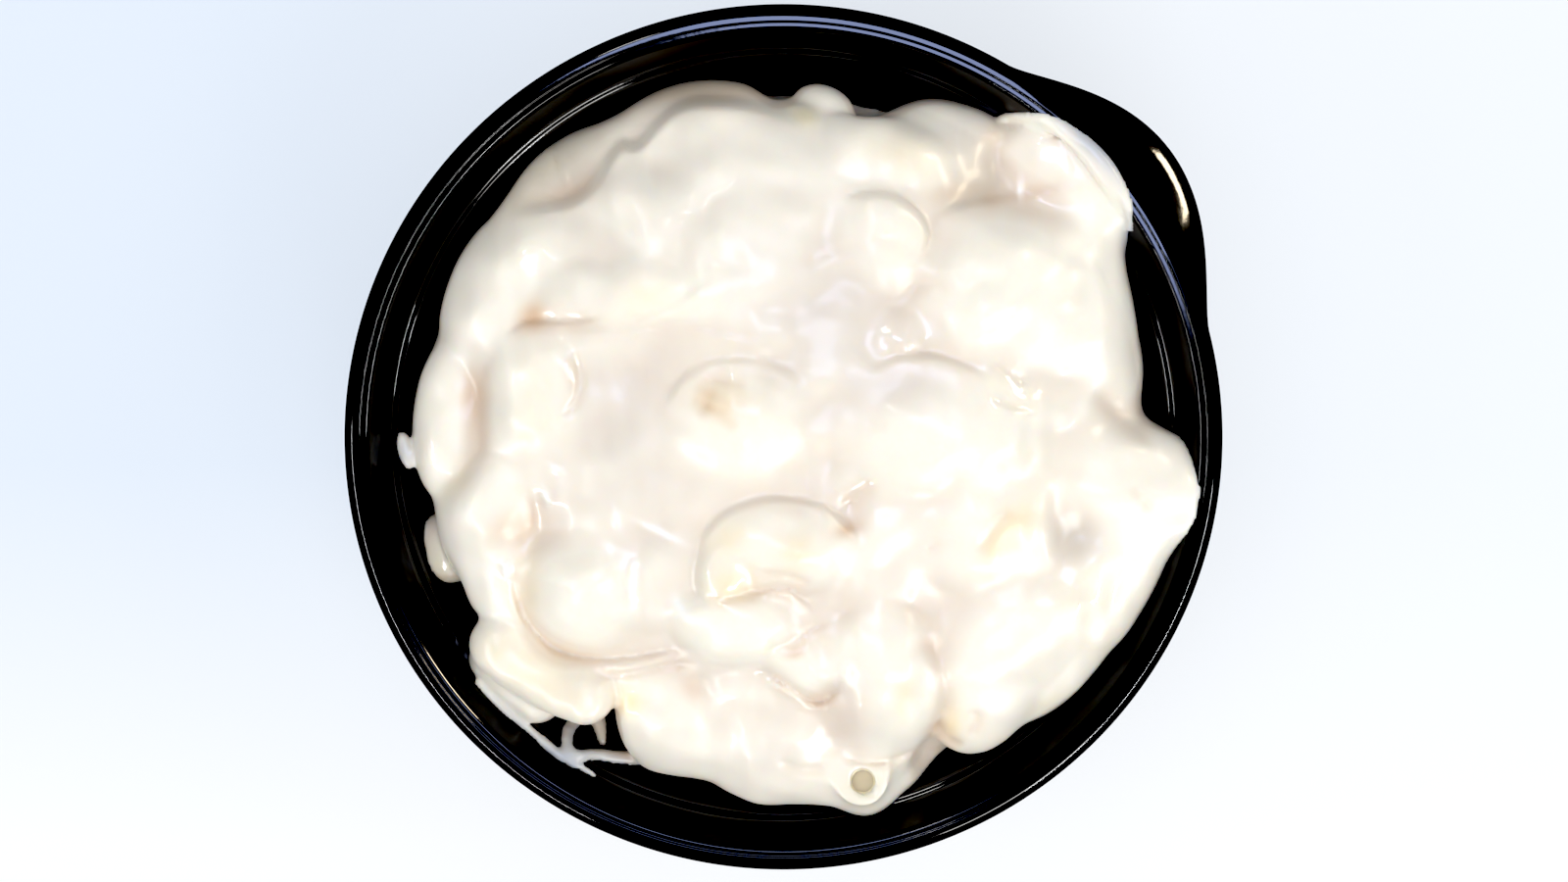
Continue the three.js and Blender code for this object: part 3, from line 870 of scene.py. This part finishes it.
# Patches of those colours, and where the sauce is wet: x, y, half length, half width, heading of the length,
# amount.
STAINS = {
    # A paler, creamier tone on the lobes' tops, partly the sauce's own and partly painted light where they
    # catch the lamps.
    "cream": [
        (-20.6, 27, 8, 2.8, 22, 0.9), (-8, 1, 12, 5, 0, 0.6), (-8, -30.5, 10, 3.6, 172, 0.7),
        (18.5, 35, 4, 5, 0, 0.7), (-34, -27, 7, 8, 0, 0.5), (37.5, 11, 5, 2, 330, 0.7),
        (40, 26, 14, 10, 0, 0.4), (40, -3, 20, 9, 0, 0.3), (-45, 33, 5, 5, 0, 0.5),
    ],
    # Dark tan painted shade in creases and pockets, and under the heap's overhanging edges.
    "brown_shade": [
        (-41.8, 23.8, 2.6, 2.2, 60, 0.8), (-53.5, 9.5, 5, 2.2, 100, 0.35), (-35.3, 14, 3, 1, 90, 0.3),
        (-45.6, -12.6, 5, 3, 25, 0.6), (-15.8, -41, 2.4, 1.6, 110, 0.4), (10.8, -12, 1.2, 2.6, 100, 0.7),
        (2, -33.6, 1.6, 1, 20, 0.6), (24.8, -32.5, 2, 2, 0, 0.35), (41.3, -36, 4, 3, 0, 0.12),
        (48, 25.4, 3, 1.6, 10, 0.2), (29, -48, 1.8, 4, 0, 0.2), (-38.5, 43.6, 6, 1.6, 12, 0.4),
        (-12, 60.4, 12, 1.4, 3, 0.6), (29, 44, 5, 1.6, 5, 0.45), (42, 44, 7, 1.2, 8, 0.35),
        (34.8, 52.4, 1.8, 2.2, 0, 0.4), (34.5, 43, 1.8, 1.8, 0, 0.35),
    ],
    "yellow": [
        (52, -26, 8, 8, 0, 0.18), (-26.6, -43.6, 2.2, 2.8, 0, 1), (-43.8, -23.3, 7, 2.5, 85, 0.3),
        (-42, -39.8, 10, 4, 330, 0.35), (-23, 27.4, 4, 3, 20, 0.25), (20, 50.6, 7, 4, 345, 0.28),
        (-8.8, -21.2, 4.2, 3, 10, 0.6), (-9.4, -13.4, 4, 2.4, 30, 0.4), (2.4, -15, 3.4, 3, 0, 0.5),
        (38.4, -13.2, 6.5, 3.2, 50, 0.7), (20.6, -41.6, 5, 1.6, 90, 0.45), (-10, 10.2, 5.5, 3.5, 0, 0.35),
        (-42, 10, 4, 8, 0, 0.2), (29.4, -47.6, 1.6, 4, 0, 0.5),
    ],
    # Dark greenish painted shade in the macaroni's holes, along a crease and in low pockets.
    "olive_shade": [
        (-56.4, -6, 4, 1.6, 50, 0.35), (3.4, 56.6, 2.8, 1.8, 335, 0.8), (13.8, -59.2, 3, 3, 0, 0.6),
        (46, -45, 3, 2, 40, 0.3), (-60, -22, 3, 5, 20, 0.4), (-50, -34, 3, 2, 20, 0.4),
    ],
    # Drab painted shade on low flats, in hollows and under the lobes' edges.
    "grey_shade": [
        (50, -14.4, 4.6, 4, 0, 1), (-27, 4, 9, 14, 0, 0.8), (-8, 40, 18, 14, 0, 0.2),
        (8, 24, 13, 10, 60, 0.8), (-1, -54, 9, 9, 0, 0.6), (-22, -46, 7, 6, 0, 0.2),
        (-14, 59.8, 12, 2, 6, 0.5), (36, 44, 10, 3, 8, 0.3), (31.5, 50, 4.5, 6, 0, 0.8),
        (19, 12.4, 9, 3.4, 10, 0.9), (11.5, -45, 3.4, 8, 0, 0.9),
    ],
    # A pinkish tone over one lobe and a faint one lower down; pinkish painted shade down the left side of
    # another lobe.
    "pink": [
        (41, 47.5, 5, 5, 0, 0.3), (11.5, -45, 3, 7, 0, 0.3), (-8, -44, 10, 6, 0, 0.1),
    ],
    # Deep painted shade where the sauce lies low under the heap's edge and in pockets.
    "deep_shade": [
        (50, -14.6, 3.4, 3.2, 0, 0.3), (32.6, 48.4, 4, 5, 0, 0.45), (30, 43.6, 5, 2.2, 5, 0.3),
        (-39.5, 47.6, 12, 4.4, 42, 1), (-14, 61, 13, 2.4, 4, 0.8),
    ],
    # Painted highlights, mostly along the strings of cheese.
    "painted_glint": [
        (-20.8, -12.6, 3.8, 0.55, 335, 1), (-25.4, -21, 3.8, 0.6, 85, 0.9),
        (-28.1, -10.2, 1.8, 0.5, 285, 0.9), (-38.3, -2, 1.4, 0.5, 328, 0.9),
        (-40.2, -7, 1.6, 0.5, 285, 0.9), (-47.4, -20.4, 1.8, 0.5, 280, 0.9), (-36, 15, 1.4, 0.5, 300, 0.8),
        (39.8, 44.6, 1.8, 0.5, 90, 0.8), (-29.4, -15.8, 0.9, 0.6, 300, 0.8),
        (-17.6, -25.4, 1.8, 1, 300, 0.8),
    ],
    "film": [
        (-36, -52.6, 3.4, 3, 0, 0.9), (-30, -58, 7, 1.8, 340, 0.7), (-47, -50, 9, 1.4, 318, 0.6),
        (-38, -57, 6, 1.6, 318, 0.9), (-65.4, -1, 1.6, 4, 0, 0.7), (58.8, 37.4, 1.6, 4, 0, 0.8),
        (51, 52.6, 10, 2, 314, 0.9), (9.5, 61.4, 4, 1.4, 340, 0.5),
    ],
    "wet": [
        (-37, 26, 3.6, 2.4, 150, 1), (-35.7, 15, 1.4, 2.4, 0, 1), (-21, -14.4, 5, 1.6, 335, 1),
        (-25.6, -23, 1.4, 5, 0, 1), (-39.5, -6, 2.4, 4, 0, 0.9), (-48, -21, 1.6, 2.4, 0, 1),
        (14, -4.2, 3, 3.6, 0, 1), (5.3, -51.3, 1.8, 2.6, 0, 0.8), (11.5, -35.3, 1.6, 1.8, 0, 1),
        (-3.5, -37.6, 2, 1.4, 30, 0.9), (-10.5, -19.5, 5, 4, 45, 0.9), (44.4, 47, 3.4, 4, 0, 0.9),
        (26, 44.4, 1, 1, 0, 0.5), (37.6, 12, 4, 3, 330, 0.9), (-58.5, -21, 2, 2.4, 0, 0.9),
        (-58.5, 0.9, 3, 5, 80, 0.6), (17, -46, 2, 8, 0, 0.6), (52, -26, 6, 6, 0, 0.5),
        (21, 19.5, 5, 3, 0, 0.7), (-45, 33, 3, 2.4, 0, 0.7),
    ],
}


class Surface:
    """A material with a Principled shader, and short ways to make, mix and link its nodes."""

    def __init__(self, name):
        self.material = bpy.data.materials.new(name)
        self.material.use_nodes = True
        self.tree = self.material.node_tree
        self.place = self.node("ShaderNodeTexCoord").outputs["Object"]

    def fill(self, sockets, values):
        """Give sockets a constant, or a link where the value is another node's output."""
        for key, value in values.items():
            if isinstance(value, bpy.types.NodeSocket):
                self.tree.links.new(value, sockets[key])
            else:
                sockets[key].default_value = value

    def finish(self, values):
        """The material, with these values in its shader."""
        self.fill(self.tree.nodes["Principled BSDF"].inputs, values)
        return self.material

    def node(self, kind, inputs=None, **settings):
        made = self.tree.nodes.new(kind)
        for key, value in settings.items():
            setattr(made, key, value)
        self.fill(made.inputs, inputs or {})
        return made

    def layer(self, name):
        """A point attribute of the mesh."""
        return self.node("ShaderNodeAttribute", attribute_name=name).outputs["Fac"]

    def noise(self, scale, detail, roughness=0.5):
        inputs = {"Vector": self.place, "Scale": scale, "Detail": detail, "Roughness": roughness}
        return self.node("ShaderNodeTexNoise", inputs).outputs["Fac"]

    def ramp(self, value, low=0.0, high=1.0, bottom=0.0, top=1.0):
        """From bottom to top as the value goes from low to high."""
        inputs = {"Value": value, "From Min": low, "From Max": high, "To Min": bottom, "To Max": top}
        return self.node("ShaderNodeMapRange", inputs).outputs["Result"]

    def mix(self, share, first, second):
        """A colour between two. The sockets of a colour mix are 0, 6 and 7, and its result is 2."""
        return self.node("ShaderNodeMix", {0: share, 6: first, 7: second}, data_type="RGBA").outputs[2]

    def times(self, first, second):
        inputs = {0: first, 1: second}
        return self.node("ShaderNodeMath", inputs, operation="MULTIPLY", use_clamp=True).outputs[0]

    def bump(self, height, strength, distance):
        inputs = {"Height": height, "Strength": strength, "Distance": distance}
        return self.node("ShaderNodeBump", inputs).outputs["Normal"]


def black_plastic(name, gloss, roughness):
    """Moulded black plastic, satin on the wall and polished on the rim."""
    surface = Surface(name)
    grain = surface.noise(900.0, 4.0)
    return surface.finish({
        "Base Color": (0.0006, 0.0006, 0.0008, 1),
        "Specular IOR Level": gloss,
        "Roughness": surface.ramp(grain, bottom=roughness, top=2 * roughness),
        "Normal": surface.bump(grain, 0.02, 0.0003),
    })


def cheese_sauce():
    """Thick pale sauce with painted shade in its valleys and creases, tinted and wet in places; some tints
    are painted shade or highlights.
    """
    surface = Surface("cheese_sauce")
    colour = surface.mix(surface.noise(55.0, 3.0, 0.6), (0.925, 0.885, 0.80, 1), (0.895, 0.845, 0.745, 1))
    # Painted shade: a pinkish tone in the valleys and a dark tan in the creases, where the lobes shade the
    # sauce.
    valley = surface.ramp(surface.layer("valley"), 0.3, 0.85)
    colour = surface.mix(valley, colour, (0.79, 0.71, 0.62, 1))
    crease = surface.ramp(surface.layer("crease"), 0.3, 0.95, top=0.5)
    colour = surface.mix(crease, colour, (0.70, 0.52, 0.36, 1))
    # The tints in turn; several of them are painted shade, and one is painted highlights.
    for name, tint, most in TINTS:
        share = surface.times(surface.layer(name), most)
        colour = surface.mix(share, colour, (*tint, 1))
    return surface.finish({
        "Base Color": colour,
        "Roughness": 0.36,
        "Subsurface Weight": 0.45,
        "Subsurface Radius": (1.0, 0.7, 0.4),
        "Subsurface Scale": 0.0018,
        "Coat Weight": surface.ramp(surface.layer("wet"), high=0.6, bottom=0.12),
        "Coat Roughness": 0.06,
        "Normal": surface.bump(surface.noise(170.0, 3.0), 0.12, 0.0006),
    })


def macaroni_pasta():
    """Cooked pasta, pale yellow and wet."""
    surface = Surface("macaroni_pasta")
    cloud = surface.noise(140.0, 3.0)
    return surface.finish({
        "Base Color": surface.mix(cloud, (0.84, 0.74, 0.46, 1), (0.90, 0.82, 0.60, 1)),
        "Roughness": 0.3,
        "Subsurface Weight": 0.6,
        "Subsurface Radius": (1.0, 0.75, 0.35),
        "Subsurface Scale": 0.002,
        "Coat Weight": 0.5,
        "Coat Roughness": 0.08,
        "Normal": surface.bump(cloud, 0.1, 0.0004),
    })


# ---- camera, floor and light

# The photo's view: degrees off vertical, distance from the rim's middle, and the rim and the frame in pixels.
VIEW = dict(tilt=10.0, distance=420.0, rim_half_height=443.3, rim_centre=(799.5, 447.4), frame=(1600, 900))

# Light weaker than this comes out black.
DARKEST = 0.016

# Lamps: name, width and height in metres, power, colour, heading, elevation, and distance in metres. A soft
# lamp lights the food, and a reflector shows only in gloss.
SOFT_LAMPS = [
    ("key", (0.36, 0.28), 1.4, (1.0, 0.985, 0.95), -62, 45, 0.60),
    ("left", (0.50, 0.25), 1.0, (1.0, 0.99, 0.96), 200, 34, 0.70),
    ("far", (0.50, 0.25), 0.75, (1.0, 0.99, 0.97), 95, 38, 0.70),
    ("right", (0.40, 0.25), 0.62, (1.0, 0.99, 0.97), 20, 35, 0.60),
    ("fill", (0.9, 0.9), 4.1, (1.0, 0.985, 0.97), 180, 82, 0.90),
]
REFLECTORS = [
    ("glint", (0.16, 0.12), 0.8, (1.0, 0.985, 0.96), -62, 42, 0.60),
    ("glint_far", (0.05, 0.03), 0.2, (1.0, 0.98, 0.95), 118, 62, 0.60),
    ("window", (0.34, 0.15), 1.8, (0.50, 0.60, 1.0), 60, 84, 0.75),
    ("left_strip", (0.60, 0.012), 2.6, (0.94, 0.97, 1.0), 217, 38, 0.65),
    ("right_strip", (0.44, 0.014), 2.6, (0.94, 0.97, 1.0), 322, 36, 0.65),
    ("warm", (0.09, 0.045), 0.5, (1.0, 0.84, 0.60), 25, 32, 0.45),
]


def make_camera():
    """Nearly straight above, a little towards +Y, so that the rim all but fills the frame's height."""
    c, s = cos_sin(VIEW["tilt"])
    camera = bpy.data.objects.new("camera", bpy.data.cameras.new("camera"))
    bpy.context.scene.collection.objects.link(camera)
    distance = VIEW["distance"] * MM
    camera.location = (0, distance * s, RIM * MM + distance * c)
    # +Y is up in the picture: turned by the tilt about X from straight down.
    camera.rotation_euler = (-math.radians(VIEW["tilt"]), 0, 0)
    camera.data.sensor_width = 36.0
    width = VIEW["frame"][0]
    # The rim's half height in pixels at this distance gives the lens.
    radius = BOWL["rim_radius"] * MM
    near = radius * c / (distance - radius * s)
    far = radius * c / (distance + radius * s)
    per_pixel = (near + far) / (2 * VIEW["rim_half_height"])
    camera.data.lens = camera.data.sensor_width / (per_pixel * width)
    middle = (near - far) / 2 / per_pixel
    camera.data.shift_x = (width / 2 - VIEW["rim_centre"][0]) / width
    camera.data.shift_y = (VIEW["rim_centre"][1] - VIEW["frame"][1] / 2 + middle) / width
    camera.data.clip_start = 0.01
    bpy.context.scene.camera = camera


def area_light(name, size, power, colour, heading, elevation, distance):
    """A lamp as a rectangle that shines on the food from a heading and an elevation in degrees."""
    data = bpy.data.lights.new(name, "AREA")
    data.shape = "RECTANGLE"
    data.size, data.size_y = size
    data.energy, data.color = power, colour
    lamp = bpy.data.objects.new(name, data)
    bpy.context.scene.collection.objects.link(lamp)
    (across, along), (level, up) = cos_sin(heading), cos_sin(elevation)
    aim = Vector((0, 0, RIM * MM))
    lamp.location = aim + Vector((level * across, level * along, up)) * distance
    lamp.rotation_euler = (aim - lamp.location).to_track_quat("-Z", "Y").to_euler()
    return lamp


def floor_material():
    """Pale and glowing, so that hardly a shadow shows; dimmer and bluer towards the far left, as painted
    fall-off of the light.
    """
    surface = Surface("floor")
    split = surface.node("ShaderNodeSeparateXYZ", {0: surface.place}).outputs
    far = surface.ramp(split["Y"], -0.085, -0.01)
    left = surface.ramp(split["X"], 0.06, -0.10, 0.35)
    return surface.finish({
        # Painted fall-off of the light: the glow is dimmer and bluer towards the far left.
        "Emission Color": surface.mix(surface.times(far, left), (1, 1, 0.99, 1), (0.76, 0.84, 0.95, 1)),
        "Emission Strength": 0.72,
        "Base Color": (0.25, 0.27, 0.3, 1),
        "Roughness": 0.9,
        "Specular IOR Level": 0.0,
    })


def make_stage():
    """The floor, the sky, the picture's contrast and the lamps."""
    side = 3000
    corners = [(-side, -side, 0), (side, -side, 0), (side, side, 0), (-side, side, 0)]
    floor = mesh_object("floor", corners, [(0, 1, 2, 3)], floor_material())
    floor.visible_glossy = False
    world = bpy.data.worlds.new("world")
    world.use_nodes = True
    sky = world.node_tree.nodes["Background"].inputs
    sky["Color"].default_value = (0.85, 0.9, 1.0, 1)
    sky["Strength"].default_value = 0.3
    world.cycles_visibility.glossy = False
    bpy.context.scene.world = world
    view = bpy.context.scene.view_settings
    view.view_transform = "Standard"
    view.use_curve_mapping = True
    view.curve_mapping.black_level = (DARKEST,) * 3
    for row in SOFT_LAMPS:
        area_light(*row).visible_glossy = False
    for row in REFLECTORS:
        area_light(*row).visible_diffuse = False


# ---- the scene

make_camera()
make_stage()
make_bowl(black_plastic("black_plastic", 0.15, 0.08), black_plastic("black_plastic_polished", 0.5, 0.04))
make_heap(cheese_sauce())
make_macaroni(macaroni_pasta())
